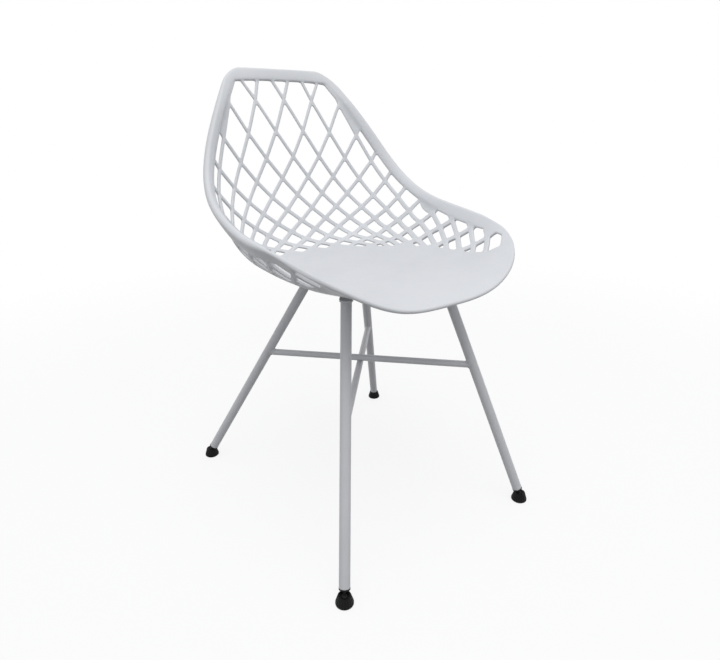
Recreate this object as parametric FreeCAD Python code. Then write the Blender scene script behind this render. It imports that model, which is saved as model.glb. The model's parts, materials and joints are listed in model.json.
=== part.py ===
import FreeCAD, Part
import bisect
import math
import os

os.makedirs("parts", exist_ok=True)
Vec = FreeCAD.Vector
Vec2 = FreeCAD.Base.Vector2d

# Overall sizes in mm. Front is -Y, the floor is z = 0, X = 0 is the plane of symmetry.
SEAT_H = 452.0
BACK_RISE = 352.0
SHELL_W = 463.0
SHELL_D = 511.0
LIP_Y = -245.2

# Moulded shell
SHEET_T = 5.0
RIM_W = 28.0
RIM_TOP_W = 24.0
RIM_T = 14.0
RIM_PROUD = 4.5
CORNER_CUT = 8.8
CORNER_REACH = 45.0

# Form of the cross curves: exponents, and the fan angles between which they change
SHAPE_BACK = 3.2
SHAPE_SEAT = 4.6
SHAPE_FRONT = 3.3
SEAT_FROM, SEAT_TO = -25.0, -55.0
FRONT_FROM, FRONT_TO = -105.0, -137.0
RIM_FADE_FROM, RIM_FADE_TO = -85.0, -128.0
LIP_BOW = 3.7
LIP_BOW_FROM = -95.0
LIP_BOW_POWER = 2.8

# Lattice. Strands widen from the top row to the last level row.
STRAND_W = 7.2
STRAND_LOW_W = 8.6
ROW_TOP_FRAC = 0.84
ROW_STEP = 58.5
ROW_SHRINK = 0.8325
COL_STEP = 29.7
COL_SHRINK = 0.168
COL_TAPER = 0.016
LAST_ROW = 12
LAST_STEP = 13.7
ROW_SAG = 0.44
SAG_COLS = 6.0
SAG_ROW_FROM, SAG_ROW_TO = 5.5, 13.0
# On the wings the rows fall toward the front and the columns widen.
FALL_FROM = 299.0
ROW_FALL = 0.14
WING_COL = 9.0
COL_GAIN = 2.96
TOP_ROW = 4
HOLE_MIN = 8.0
TOP_CORNER_R = 24.0

# Edge of the closed pan: its back, where it is full, and its side, as shares of profile and half width
PAN_BACK = 0.484
PAN_FULL = 0.831
PAN_SIDE = 0.769
PAN_POWER = 2.6

# Legs and stretchers. A leg runs from the ball of its foot to the underside of its plate.
# The upper rod lies on the lower one where they cross and is sunk a little into it by the weld.
TUBE_D = 18.0
TUBE_WALL = 1.5
FOOT_X_FRONT = 209.0
FOOT_X_REAR = 231.0
FOOT_Y_FRONT = -256.7
FOOT_Y_REAR = 252.3
TOP_X_FRONT = 103.3
TOP_X_REAR = 57.8
TOP_Y_FRONT = -118.7
TOP_Y_REAR = 60.0
ROD_D = 12.5
UPPER_Z_FRONT = 281.0
UPPER_Z_REAR = 270.0
LOWER_Z_FRONT = 261.0
WELD_SINK = 1.0

# Mounting plates, bosses and fasteners
PLATE_T = 3.0
PLATE_W = 22.0
PLATE_TOP_Z = SEAT_H - 9.0
SCREW_IN = 22.0
SCREW_PITCH = 24.0
BOSS_D = 16.0
INSERT_D = 8.0
INSERT_L = 5.0
SCREW_D = 6.0
HEAD_D = 11.0
HEAD_H = 3.3
SOCKET_AF = 4.0
SOCKET_DEPTH = 2.0
HOLE_PLAY = 0.3
FIT = 0.1

# Feet
BALL_Z = 12.0
BALL_D = 12.0
BALL_GAP = 0.3
STEM_D = 5.0
STEM_L = 10.0
NECK_D = 13.0
FLANGE_D = TUBE_D + 0.6
FLANGE_T = 2.5
FLANGE_DROP = 13.0
PLUG_L = 24.0
PLUG_RINGS = 4
PAD_BASE_D = 29.4
PAD_TOP_D = 20.5
PAD_BAND_Z = 4.0
PAD_ROUND = 1.5
PAD_FLUTES = 18
FLUTE_D = 2.4
MOUTH_DEG = 62.0

BACK_Y = LIP_Y + SHELL_D
FAN_Y = LIP_Y + 0.358 * SHELL_D
FAN_Z = SEAT_H + 0.477 * BACK_RISE
FAN_MM = 4.5
ROW_MARCH = 4.0

# Guide curves as fractions of the shell's width, depth and rise: the middle profile and the rim.
MIDDLE = [(1.0, 1.0), (0.956, 0.825), (0.907, 0.541), (0.885, 0.318), (0.864, 0.195), (0.835, 0.08),
          (0.769, 0.023), (0.67, 0.004), (0.5, -0.003), (0.3, 0.001), (0.12, 0.004), (0.05, -0.005),
          (0.0, -0.011)]
RIM = [(0.484, 0.989, 0.983), (0.636, 0.912, 0.826), (0.796, 0.843, 0.642), (0.906, 0.773, 0.484),
       (0.966, 0.672, 0.367), (0.986, 0.525, 0.296), (0.997, 0.384, 0.262), (0.968, 0.27, 0.238),
       (0.918, 0.141, 0.19)]


def spline(xs, ys):
    """Natural cubic spline through the points, xs rising."""
    n = len(xs)
    h = [xs[i + 1] - xs[i] for i in range(n - 1)]
    lo = [0.0] * n
    mu = [0.0] * n
    for i in range(1, n - 1):
        rhs = 3 * (ys[i + 1] - ys[i]) / h[i] - 3 * (ys[i] - ys[i - 1]) / h[i - 1]
        div = 2 * (xs[i + 1] - xs[i - 1]) - h[i - 1] * mu[i - 1]
        mu[i] = h[i] / div
        lo[i] = (rhs - h[i - 1] * lo[i - 1]) / div
    c = [0.0] * n
    for i in range(n - 2, 0, -1):
        c[i] = lo[i] - mu[i] * c[i + 1]

    def value(x):
        i = 0
        while i < n - 2 and x > xs[i + 1]:
            i += 1
        b = (ys[i + 1] - ys[i]) / h[i] - h[i] * (c[i + 1] + 2 * c[i]) / 3
        t = x - xs[i]
        if x < xs[0]:
            return ys[0] + b * t
        return ys[i] + t * (b + t * (c[i] + t * (c[i + 1] - c[i]) / (3 * h[i])))
    return value


def lookup(pairs, x):
    """Piecewise linear value of the second column at x of the first, which rises."""
    i = min(max(bisect.bisect_right(pairs, (x,)) - 1, 0), len(pairs) - 2)
    (x0, y0), (x1, y1) = pairs[i], pairs[i + 1]
    return y0 + (y1 - y0) * (x - x0) / (x1 - x0)


def guide(points):
    """A smooth curve through guide points, as radius and offset across against fan angle."""
    pts = [Vec(p[0] * SHELL_W / 2, LIP_Y + p[1] * SHELL_D, SEAT_H + p[2] * BACK_RISE) for p in points]
    run = [0.0]
    for p, q in zip(pts, pts[1:]):
        run.append(run[-1] + (q - p).Length)
    fx, fy, fz = (spline(run, [p[i] for p in pts]) for i in range(3))
    rho = []
    off = []
    for i in range(-20, 401):
        c = run[-1] * i / 400
        y, z = fy(c) - FAN_Y, fz(c) - FAN_Z
        th = math.degrees(math.atan2(z, y))
        rho.append((th, math.hypot(y, z)))
        off.append((th, fx(c)))
    return sorted(rho), sorted(off)


MID_RHO, _ = guide([(0.0,) + p for p in MIDDLE])
RIM_RHO, RIM_OFF = guide(RIM)
TH_TOP = math.degrees(math.atan2(SEAT_H + BACK_RISE - FAN_Z, BACK_Y - FAN_Y))
TH_LIP = math.degrees(math.atan2(SEAT_H + MIDDLE[-1][1] * BACK_RISE - FAN_Z, LIP_Y - FAN_Y))


def rho_mid(th):
    return lookup(MID_RHO, th)


def rho_rim(th):
    return lookup(RIM_RHO, th)


def x_rim(th):
    return lookup(RIM_OFF, th)


def ease(a, b, x):
    t = min(max((x - a) / (b - a), 0.0), 1.0)
    return t * t * (3 - 2 * t)


def shape(th):
    """Exponent of the cross curve: round in the back, flat with steep walls in the seat."""
    n = SHAPE_BACK + (SHAPE_SEAT - SHAPE_BACK) * ease(SEAT_FROM, SEAT_TO, th)
    return n + (SHAPE_FRONT - SHAPE_SEAT) * ease(FRONT_FROM, FRONT_TO, th)


def section(th, k):
    """Offset across and radius in the plane of the fan at th, k = share of the half width."""
    r0 = rho_mid(th)
    return k * x_rim(th), r0 - (r0 - rho_rim(th)) * abs(k) ** shape(th)


def point(th, k):
    x, r = section(th, k)
    bow = LIP_BOW * ease(LIP_BOW_FROM, TH_LIP, th)
    bow *= math.sin(math.pi * min(abs(k), 1.0) ** LIP_BOW_POWER)
    a = math.radians(th - bow)
    return Vec(x, FAN_Y + r * math.cos(a), FAN_Z + r * math.sin(a))


def normal(th, k):
    """Unit normal of the sitting face, toward the sitter."""
    k = min(max(k, -0.999), 0.999)
    du = point(th + 0.2, k) - point(th - 0.2, k)
    dv = point(th, k + 0.002) - point(th, k - 0.002)
    return dv.cross(du).normalize()


def table(th, top=1.0, steps=60):
    """Running length of the cross curve at th, from the middle out to top."""
    out = [(0.0, 0.0)]
    a = section(th, 0.0)
    for i in range(1, steps + 1):
        k = top * i / steps
        b = section(th, k)
        out.append((out[-1][0] + math.hypot(b[0] - a[0], b[1] - a[1]), k))
        a = b
    return out


# Running length along the middle profile, from the top rail to the lip.
profile = [(0.0, TH_TOP)]
while profile[-1][1] > TH_LIP + 1e-6:
    th = max(profile[-1][1] - 0.5, TH_LIP)
    profile.append((profile[-1][0] + (point(th, 0) - point(profile[-1][1], 0)).Length, th))
PROFILE_L = profile[-1][0]
by_angle = sorted((t, s) for s, t in profile)

# Rows and columns of control points: close together under the rim, even elsewhere.
RIM_STEPS = [0.0, 0.07, 0.2, 0.4, 0.6, 0.8, 0.93, 1.0]
ROWS = 40
COLS = 12
rows = [RIM_TOP_W * f for f in RIM_STEPS]
rows += [RIM_TOP_W + (PROFILE_L - RIM_TOP_W) * i / ROWS for i in range(1, ROWS + 1)]


def bead(e):
    """How full the rim is at the distance e from the edge, 0 to 1."""
    f = min(max(e / RIM_W, 0.0), 1.0)
    return math.sin(math.pi * f) ** 0.6 if 0 < f < 1 else 0.0


def offsets(e, full):
    """Heights of the two faces above the sitting surface."""
    b = bead(e) * full
    return RIM_PROUD * b, -SHEET_T - (RIM_T - SHEET_T - RIM_PROUD) * b


def corner_shift(s, e):
    """How far a point near a corner of the rim is drawn in, at the top rail and at the lip."""
    near = CORNER_CUT * max(0.0, 1 - e / CORNER_REACH) ** 2
    top = near * max(0.0, 1 - s / CORNER_REACH) ** 2
    low = near * max(0.0, 1 - (PROFILE_L - s) / CORNER_REACH) ** 2
    return top, low


def control_nets():
    front = []
    back = []
    for s in rows:
        th = lookup(profile, s)
        lengths = table(th)
        half = lengths[-1][0]
        full = 1 - ease(RIM_FADE_FROM, RIM_FADE_TO, th)
        side = [half - RIM_W * f for f in RIM_STEPS[:-1]]
        inner = [(half - RIM_W) * i / COLS for i in range(COLS, -1, -1)]
        places = side + inner
        places = places + [-t for t in reversed(places[:-1])]
        line_f = []
        line_b = []
        for t in places:
            e = half - abs(t)
            up, down = offsets(min(e, s * RIM_W / RIM_TOP_W), full)
            top, low = corner_shift(s, e)
            at, k = th, lookup(lengths, abs(t))
            if top + low > 0:
                at = lookup(profile, s + top - low)
                k = lookup(table(at), abs(t) - top - low)
            k = math.copysign(k, t)
            p = point(at, k)
            n = normal(at, k)
            line_f.append(p + n * up)
            line_b.append(p + n * down)
        front.append(line_f)
        back.append(line_b)
    return front, back


def surface(net):
    nu, nv = len(net), len(net[0])
    s = Part.BSplineSurface()
    ku, kv = list(range(nu - 2)), list(range(nv - 2))
    mu, mv = [4] + [1] * (nu - 4) + [4], [4] + [1] * (nv - 4) + [4]
    s.buildFromPolesMultsKnots(net, mu, mv, ku, kv, False, False, 3, 3)
    return s


def to_uv(s, t):
    """Surface parameters of the point at length s down the profile and t across."""
    u = len(RIM_STEPS) - 2 + (s - RIM_TOP_W) / (PROFILE_L - RIM_TOP_W) * ROWS
    half = half_length(lookup(profile, s))
    v = len(RIM_STEPS) - 2 + COLS - t / (half - RIM_W) * COLS
    return u, v


half_cache = {}


def half_length(th):
    key = round(th, 2)
    if key not in half_cache:
        half_cache[key] = table(key)[-1][0]
    return half_cache[key]


def across(th, k):
    return math.copysign(lookup([(b, a) for a, b in table(th, 1.25, 40)], abs(k)), k)


def row_height(r):
    return SEAT_H + ROW_TOP_FRAC * BACK_RISE - ROW_STEP * (1 - ROW_SHRINK ** (r - TOP_ROW)) / (1 - ROW_SHRINK)


def angle_at(k, z):
    """First angle down from above the top rail where the shell at k is at the height z."""
    th = TH_TOP + 16
    while point(th, k).z > z:
        th -= 1.0
        if th < TH_LIP:
            return None
    a, b = th, th + 1.0
    for _ in range(24):
        m = (a + b) / 2
        if point(m, k).z > z:
            b = m
        else:
            a = m
    return (a + b) / 2


def level_line(r):
    """The line of one row of crossings, nearly level, as angle and share of half width."""
    top = row_height(r)
    sag = ROW_SAG * (1 - ease(SAG_ROW_FROM, SAG_ROW_TO, r)) / COL_STEP ** 2
    far = SAG_COLS * COL_STEP
    th, k, run = angle_at(0.0, top), 0.0, 0.0
    line = [(th, k)]
    while k < 1.25 and TH_LIP < th and run < 2 * SHELL_W:
        for _ in range(3):
            ga = (point(th + 0.1, k).z - point(th - 0.1, k).z) / (0.2 * FAN_MM)
            gb = (point(th, k + 0.004).z - point(th, max(k - 0.004, 0)).z) / (0.008 * SHELL_W / 2)
            drop = sag * min(run, far) ** 2 + ROW_FALL * max(run - FALL_FROM, 0.0)
            miss = (top - drop - point(th, k).z) / (ga * ga + gb * gb)
            th += miss * ga / FAN_MM
            k += miss * gb / (SHELL_W / 2)
        run += (point(th, k) - point(*line[-1])).Length
        line.append((th, k))
        size = math.hypot(ga, gb) / ROW_MARCH
        th -= gb / size / FAN_MM
        k += ga / size / (SHELL_W / 2)
    return [line[0]] + line[2:]


def moved_line(line, gap):
    """A row line moved down onto the flat of the seat by gap."""
    flat = [(lookup(by_angle, th), across(th, k)) for th, k in line if k <= 1]
    out = []
    for i in range(len(flat) - 1):
        a, b = flat[max(i - 1, 0)], flat[i + 1]
        ds, dt = b[0] - a[0], b[1] - a[1]
        size = math.hypot(ds, dt)
        s, t = flat[i][0] + gap * dt / size, flat[i][1] - gap * ds / size
        if t < 0 or s > PROFILE_L:
            continue
        th = lookup(profile, s)
        out.append((th, lookup(table(th), t)))
    return out


def row_lines():
    """Every row of crossings: running length, angle, share of half width."""
    out = {}
    for r in range(TOP_ROW - 2, LAST_ROW + 5):
        line = level_line(min(r, LAST_ROW))
        if r > LAST_ROW:
            line = moved_line(line, LAST_STEP * (r - LAST_ROW))
        run = [(0.0,) + line[0]]
        for p, q in zip(line, line[1:]):
            run.append((run[-1][0] + (point(*q) - point(*p)).Length,) + q)
        out[r] = run
    return out


def crossing(lines, d, r):
    """Place of the crossing d columns from the middle on row r, or None past the row's end."""
    line = lines[r]
    t = COL_STEP * abs(d) - COL_SHRINK * d * d + COL_GAIN * max(abs(d) - WING_COL, 0.0)
    t *= 1 + COL_TAPER * (8 - r)
    if r < TOP_ROW and t > line[-1][0]:
        a, b = crossing(lines, d, r + 2), crossing(lines, d, r + 4)
        if a is None or b is None:
            return None
        return a[0] * 2 - b[0], (2 * a[1][0] - b[1][0], 2 * a[1][1] - b[1][1])
    if t > line[-1][0]:
        return None
    th = lookup([(p[0], p[1]) for p in line], t)
    k = math.copysign(lookup([(p[0], p[2]) for p in line], t), d)
    if th > TH_TOP:
        s = TH_TOP - th
        s *= (point(TH_TOP, 0) - point(TH_TOP - 1, 0)).Length
    else:
        s = lookup(by_angle, th)
    return point(th, k), (s, across(min(th, TH_TOP), k))


def clip(poly, p, q):
    """Part of a polygon to the left of the line from p to q."""
    def side(v):
        return (q[0] - p[0]) * (v[1] - p[1]) - (q[1] - p[1]) * (v[0] - p[0])
    out = []
    for a, b in zip(poly, poly[1:] + poly[:1]):
        fa, fb = side(a), side(b)
        if fa >= 0:
            out.append(a)
        if fa * fb < 0:
            t = fa / (fa - fb)
            out.append((a[0] + t * (b[0] - a[0]), a[1] + t * (b[1] - a[1])))
    return out


def strand_width(r):
    """Width of the strands around an opening of row r."""
    share = min(max((r - TOP_ROW) / (LAST_ROW - TOP_ROW), 0.0), 1.0)
    return STRAND_W + (STRAND_LOW_W - STRAND_W) * share


def inset(corners, width):
    """Opening between four strands: the corners drawn in by half a strand."""
    out = []
    for i in range(4):
        v, n, p = corners[i], corners[(i + 1) % 4], corners[i - 1]
        e1, e2 = n[0] - v[0], p[0] - v[0]
        sin = e1.cross(e2).Length / (e1.Length * e2.Length)
        f1, f2 = width / 2 / sin / e1.Length, width / 2 / sin / e2.Length
        out.append((v[1][0] + f1 * (n[1][0] - v[1][0]) + f2 * (p[1][0] - v[1][0]),
                    v[1][1] + f1 * (n[1][1] - v[1][1]) + f2 * (p[1][1] - v[1][1])))
    return out


def signed_area(poly):
    return sum(a[0] * b[1] - b[0] * a[1] for a, b in zip(poly, poly[1:] + poly[:1])) / 2


def tidy(poly):
    """The polygon without very short sides."""
    out = []
    for p in poly:
        if not out or math.hypot(p[0] - out[-1][0], p[1] - out[-1][1]) > 1.5:
            out.append(p)
    if len(out) > 2 and math.hypot(out[0][0] - out[-1][0], out[0][1] - out[-1][1]) < 1.5:
        out.pop()
    return out


def pan_edge(steps=24):
    """Edge of the closed pan from its right side over the back to its left side."""
    back, full, side = PAN_BACK * PROFILE_L, PAN_FULL * PROFILE_L, PAN_SIDE * SHELL_W / 2
    half = []
    for i in range(steps + 1):
        a = math.pi / 2 * i / steps
        half.append((full - (full - back) * max(math.cos(a), 0.0) ** (2 / PAN_POWER),
                     side * math.sin(a) ** (2 / PAN_POWER)))
    half.append((PROFILE_L, side))
    return [(s, -t) for s, t in reversed(half[1:])] + half


def clip_corners(poly):
    """Part of a polygon inside the rim's rounded inner corners at the top."""
    s = RIM_TOP_W + TOP_CORNER_R
    t = half_length(lookup(profile, s)) - RIM_W - TOP_CORNER_R
    for side in (1, -1):
        for a in (15, 35, 55, 75):
            ds, dt = -math.cos(math.radians(a)), side * math.sin(math.radians(a))
            p = (s + TOP_CORNER_R * ds, side * t + TOP_CORNER_R * dt)
            if len(poly) > 2:
                poly = clip(poly, p, (p[0] - dt, p[1] + ds))
    return poly


def openings():
    """Outlines of the lattice's openings, as length down the profile and length across."""
    lines = row_lines()
    edge = pan_edge()
    end = PROFILE_L - RIM_W
    out = []
    for r in range(TOP_ROW - 1, LAST_ROW + 4):
        for d in range(-23, 24):
            if (r - d) % 2 == 0:
                continue
            corners = [crossing(lines, *c) for c in ((d - 1, r), (d, r + 1), (d + 1, r), (d, r - 1))]
            if None in corners:
                continue
            poly = inset(corners, strand_width(r))
            if signed_area(poly) < 0:
                poly.reverse()
            s0, s1 = min(p[0] for p in poly), max(p[0] for p in poly)
            if s1 < RIM_TOP_W + HOLE_MIN or s0 > end:
                continue
            s0 = max(s0, 0.0)
            h0 = half_length(lookup(profile, s0)) - RIM_W
            h1 = half_length(lookup(profile, s1)) - RIM_W
            poly = clip(poly, (RIM_TOP_W, 1.0), (RIM_TOP_W, 0.0))
            if len(poly) > 2:
                poly = clip(poly, (end, 0.0), (end, 1.0))
            if len(poly) > 2:
                poly = clip(poly, (s1, h1), (s0, h0))
            if len(poly) > 2:
                poly = clip(poly, (s0, -h0), (s1, -h1))
            if s0 < RIM_TOP_W + TOP_CORNER_R:
                poly = clip_corners(poly)
            if len(poly) < 3:
                continue
            cx = sum(p[0] for p in poly) / len(poly)
            cy = sum(p[1] for p in poly) / len(poly)
            best = None
            for a, b in zip(edge, edge[1:]):
                l2 = (b[0] - a[0]) ** 2 + (b[1] - a[1]) ** 2
                f = min(max(((cx - a[0]) * (b[0] - a[0]) + (cy - a[1]) * (b[1] - a[1])) / l2, 0), 1)
                gap = math.hypot(a[0] + f * (b[0] - a[0]) - cx, a[1] + f * (b[1] - a[1]) - cy)
                if best is None or gap < best[0]:
                    best = (gap, a, b)
            poly = tidy(clip(poly, best[1], best[2]))
            if len(poly) < 3:
                continue
            size = abs(signed_area(poly))
            long = max(math.hypot(a[0] - b[0], a[1] - b[1]) for a in poly for b in poly)
            if size / long < HOLE_MIN / 2 or size < HOLE_MIN * HOLE_MIN:
                continue
            out.append(poly)
    return out


def hole_edges(s, outline):
    out = []
    for a, b in zip(outline, outline[1:] + outline[:1]):
        out.append(Part.Geom2d.Line2dSegment(Vec2(*a), Vec2(*b)).toShape(s))
    return out


def perforated(s, outlines):
    face = s.toShape()
    edges = [hole_edges(s, o) for o in outlines]
    face.cutHoles([Part.Wire(e) for e in edges])
    face.validate()
    return face, edges


def make_sheet():
    net_f, net_b = control_nets()
    srf_f, srf_b = surface(net_f), surface(net_b)
    outlines = [[to_uv(*p) for p in poly] for poly in openings()]
    face_f, edges_f = perforated(srf_f, outlines)
    face_b, edges_b = perforated(srf_b, outlines)
    faces = [face_f, face_b]
    for ring_f, ring_b in zip(edges_f, edges_b):
        for a, b in zip(ring_f, ring_b):
            faces.append(Part.makeRuledSurface(a, b))
    for a, b in zip(srf_f.toShape().Edges, srf_b.toShape().Edges):
        faces.append(Part.makeRuledSurface(a, b))
    shell = Part.Compound(faces)
    shell.sewShape(0.01)
    solid = Part.Solid(shell)
    if solid.Volume < 0:
        solid.reverse()
    return solid


def sit_height(x, y):
    """Height of the sitting face above the point (x, y) of the flat of the seat."""
    a, b = -140.0, -40.0
    for _ in range(40):
        th = (a + b) / 2
        if point(th, x / x_rim(th)).y < y:
            a = th
        else:
            b = th
    return point(th, x / x_rim(th)).z


UP = Vec(0, 0, 1)
PLATE_Z = PLATE_TOP_Z - PLATE_T
SIDES = {"front_left": (1, -1), "front_right": (-1, -1), "rear_left": (1, 1), "rear_right": (-1, 1)}


def leg_ends(side):
    """Ball centre and top end of one leg's axis."""
    sx, sy = SIDES[side]
    if sy < 0:
        return Vec(sx * FOOT_X_FRONT, FOOT_Y_FRONT, BALL_Z), Vec(sx * TOP_X_FRONT, TOP_Y_FRONT, PLATE_Z)
    return Vec(sx * FOOT_X_REAR, FOOT_Y_REAR, BALL_Z), Vec(sx * TOP_X_REAR, TOP_Y_REAR, PLATE_Z)


def leg_way(side):
    foot, top = leg_ends(side)
    return (top - foot).normalize()


def leg_at(side, z):
    """Point of a leg's axis at the height z."""
    foot, top = leg_ends(side)
    return foot + (top - foot) * ((z - foot.z) / (top.z - foot.z))


def inward(side):
    way = leg_way(side)
    return Vec(way.x, way.y, 0).normalize()


def screw_points():
    """Where the screws stand, as (x, y), two under each plate."""
    out = []
    for side in SIDES:
        foot, top = leg_ends(side)
        for i in range(2):
            p = top + inward(side) * (SCREW_IN + i * SCREW_PITCH)
            out.append((p.x, p.y))
    return out


def tube_solid(side):
    """The leg's full outside, past both of its ends."""
    foot, top = leg_ends(side)
    way = leg_way(side)
    return Part.makeCylinder(TUBE_D / 2, (top - foot).Length + 2 * TUBE_D, foot, way)


def make_leg(side):
    foot, top = leg_ends(side)
    way = leg_way(side)
    start = FLANGE_DROP + FLANGE_T
    length = (top - foot).Length - start + TUBE_D
    tube = Part.makeCylinder(TUBE_D / 2, length, foot + way * start, way)
    tube = tube.cut(Part.makeCylinder(TUBE_D / 2 - TUBE_WALL, length, foot + way * start, way))
    above = Part.makeBox(4 * TUBE_D, 4 * TUBE_D, 4 * TUBE_D, top - Vec(2 * TUBE_D, 2 * TUBE_D, 0))
    return tube.cut(above)


def make_plate(side):
    """Flat plate with round ends, the leg at its outer end and two screw holes."""
    foot, top = leg_ends(side)
    way = inward(side)
    across_way = UP.cross(way)
    reach = SCREW_IN + SCREW_PITCH
    r = PLATE_W / 2
    a, b = top + across_way * r, top + way * reach + across_way * r
    c, d = top + way * reach - across_way * r, top - across_way * r
    edges = [Part.makeLine(a, b), Part.Arc(b, top + way * (reach + r), c).toShape(),
             Part.makeLine(c, d), Part.Arc(d, top - way * r, a).toShape()]
    plate = Part.Face(Part.Wire(edges)).extrude(Vec(0, 0, PLATE_T))
    for i in range(2):
        at = top + way * (SCREW_IN + i * SCREW_PITCH)
        plate = plate.cut(Part.makeCylinder(SCREW_D / 2 + HOLE_PLAY, PLATE_T, at))
    return plate


def make_screw(x, y):
    shank = Part.makeCylinder(SCREW_D / 2, PLATE_T + INSERT_L - 0.5, Vec(x, y, PLATE_Z))
    head = Part.makeCylinder(HEAD_D / 2, HEAD_H, Vec(x, y, PLATE_Z - HEAD_H))
    r = SOCKET_AF / math.sqrt(3)
    corners = [Vec(x + r * math.cos(math.radians(60 * i)), y + r * math.sin(math.radians(60 * i)),
                   PLATE_Z - HEAD_H) for i in range(7)]
    socket = Part.Face(Part.makePolygon(corners)).extrude(Vec(0, 0, SOCKET_DEPTH))
    return head.fuse(shank).cut(socket).removeSplitter()


def make_insert(x, y):
    body = Part.makeCylinder(INSERT_D / 2, INSERT_L, Vec(x, y, PLATE_TOP_Z))
    return body.cut(Part.makeCylinder(SCREW_D / 2 + FIT, INSERT_L, Vec(x, y, PLATE_TOP_Z)))


def make_shell():
    """The moulded shell: the perforated sheet with its screw bosses."""
    shell = make_sheet()
    bosses = []
    bores = []
    for x, y in screw_points():
        rise = sit_height(x, y) - SHEET_T / 2 - PLATE_TOP_Z
        bosses.append(Part.makeCylinder(BOSS_D / 2, rise, Vec(x, y, PLATE_TOP_Z)))
        bores.append(Part.makeCylinder(INSERT_D / 2 + FIT, INSERT_L + 0.5, Vec(x, y, PLATE_TOP_Z)))
    return shell.fuse(bosses).cut(bores)


def turned(profile_points, at, way, ball=0.0):
    """A turned solid from (radius, height) points, with a ball at its start if one is asked for."""
    pts = [Vec(r, 0, h) for r, h in profile_points]
    edges = []
    if ball:
        low = Vec(0, 0, -ball)
        edges.append(Part.Arc(low, Vec(ball, 0, 0), pts[0]).toShape())
        pts.append(low)
    else:
        pts.append(pts[0])
    edges += [Part.makeLine(p, q) for p, q in zip(pts, pts[1:])]
    solid = Part.Face(Part.Wire(edges)).revolve(Vec(), UP, 360)
    solid.Placement = FreeCAD.Placement(at, FreeCAD.Rotation(UP, way))
    return solid


def make_plug(side):
    """Ball, neck, flange and the ringed shank pressed into the tube."""
    foot, top = leg_ends(side)
    way = leg_way(side)
    bore = TUBE_D / 2 - TUBE_WALL - FIT
    root = bore - 0.8
    seat = FLANGE_DROP + FLANGE_T
    low = math.sqrt((BALL_D / 2) ** 2 - (STEM_D / 2) ** 2)
    line = [(STEM_D / 2, low), (STEM_D / 2, STEM_L), (NECK_D / 2, FLANGE_DROP),
            (FLANGE_D / 2, FLANGE_DROP), (FLANGE_D / 2, seat), (root, seat)]
    pitch = PLUG_L / PLUG_RINGS
    for i in range(PLUG_RINGS):
        h = seat + pitch * i
        line += [(root, h + 0.35 * pitch), (bore, h + 0.45 * pitch)]
        line += [(bore, h + 0.75 * pitch), (root, h + pitch)]
    line.append((0, seat + PLUG_L))
    return turned(line, foot, way, BALL_D / 2)


def make_pad(side):
    """Fluted foot with a round socket for the ball, flat on the floor."""
    foot, top = leg_ends(side)
    socket = BALL_D / 2 + BALL_GAP
    base, rim = PAD_BASE_D / 2, PAD_TOP_D / 2
    mouth = math.radians(MOUTH_DEG)
    rim_z = rim / math.tan(mouth)
    low = -BALL_Z
    line = [(0, low), (base - PAD_ROUND, low), (base, low + PAD_ROUND), (base, low + PAD_BAND_Z),
            (rim + 0.5, rim_z - 1), (rim, rim_z), (0, 0)]
    pad = turned(line, foot, UP)
    lean = Vec(rim + 0.5 - base, 0, rim_z - 1 - low - PAD_BAND_Z)
    cuts = [Part.makeSphere(socket, foot)]
    for i in range(PAD_FLUTES):
        flute = Part.makeCylinder(FLUTE_D / 2, lean.Length * 1.2, Vec(base + 0.4, 0, low + PAD_BAND_Z), lean)
        flute.rotate(Vec(), UP, 360 * i / PAD_FLUTES)
        flute.translate(foot)
        cuts.append(flute)
    return pad.cut(cuts)


def rod_ends():
    """Ends of the upper and the lower rod on the legs' axes."""
    a, b = leg_at("front_left", UPPER_Z_FRONT), leg_at("rear_right", UPPER_Z_REAR)
    c, z = leg_at("front_right", LOWER_Z_FRONT), LOWER_Z_FRONT
    for _ in range(30):
        d = leg_at("rear_left", z)
        up, low, gap = b - a, d - c, c - a
        turn = up.x * low.y - up.y * low.x
        m = (gap.x * low.y - gap.y * low.x) / turn
        n = (gap.x * up.y - gap.y * up.x) / turn
        z += ((a + up * m).z - (c + low * n).z - ROD_D + WELD_SINK) / n
    return a, b, c, leg_at("rear_left", z)


def make_rod(a, b, cutters):
    return Part.makeCylinder(ROD_D / 2, (b - a).Length, a, b - a).cut(cutters)


nodes = {"seat_shell": make_shell()}
for side in SIDES:
    nodes["leg_" + side] = make_leg(side)
    nodes["leg_plate_" + side] = make_plate(side)
    nodes["foot_plug_" + side] = make_plug(side)
    nodes["foot_pad_" + side] = make_pad(side)

outside = {side: tube_solid(side) for side in SIDES}
a, b, c, d = rod_ends()
upper = make_rod(a, b, [outside["front_left"], outside["rear_right"]])
nodes["stretcher_upper"] = upper
nodes["stretcher_lower"] = make_rod(c, d, [outside["front_right"], outside["rear_left"], upper])
nodes["plate_screws"] = Part.Compound([make_screw(x, y) for x, y in screw_points()])
nodes["shell_inserts"] = Part.Compound([make_insert(x, y) for x, y in screw_points()])

for name, part in nodes.items():
    part.exportStep("parts/" + name + ".step")
    print(name, part.isValid(), len(part.Solids), round(part.Volume, 1))
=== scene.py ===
import json
import math

import bmesh
import bpy
import numpy as np
from mathutils import Matrix, Vector
from mathutils.geometry import delaunay_2d_cdt


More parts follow.
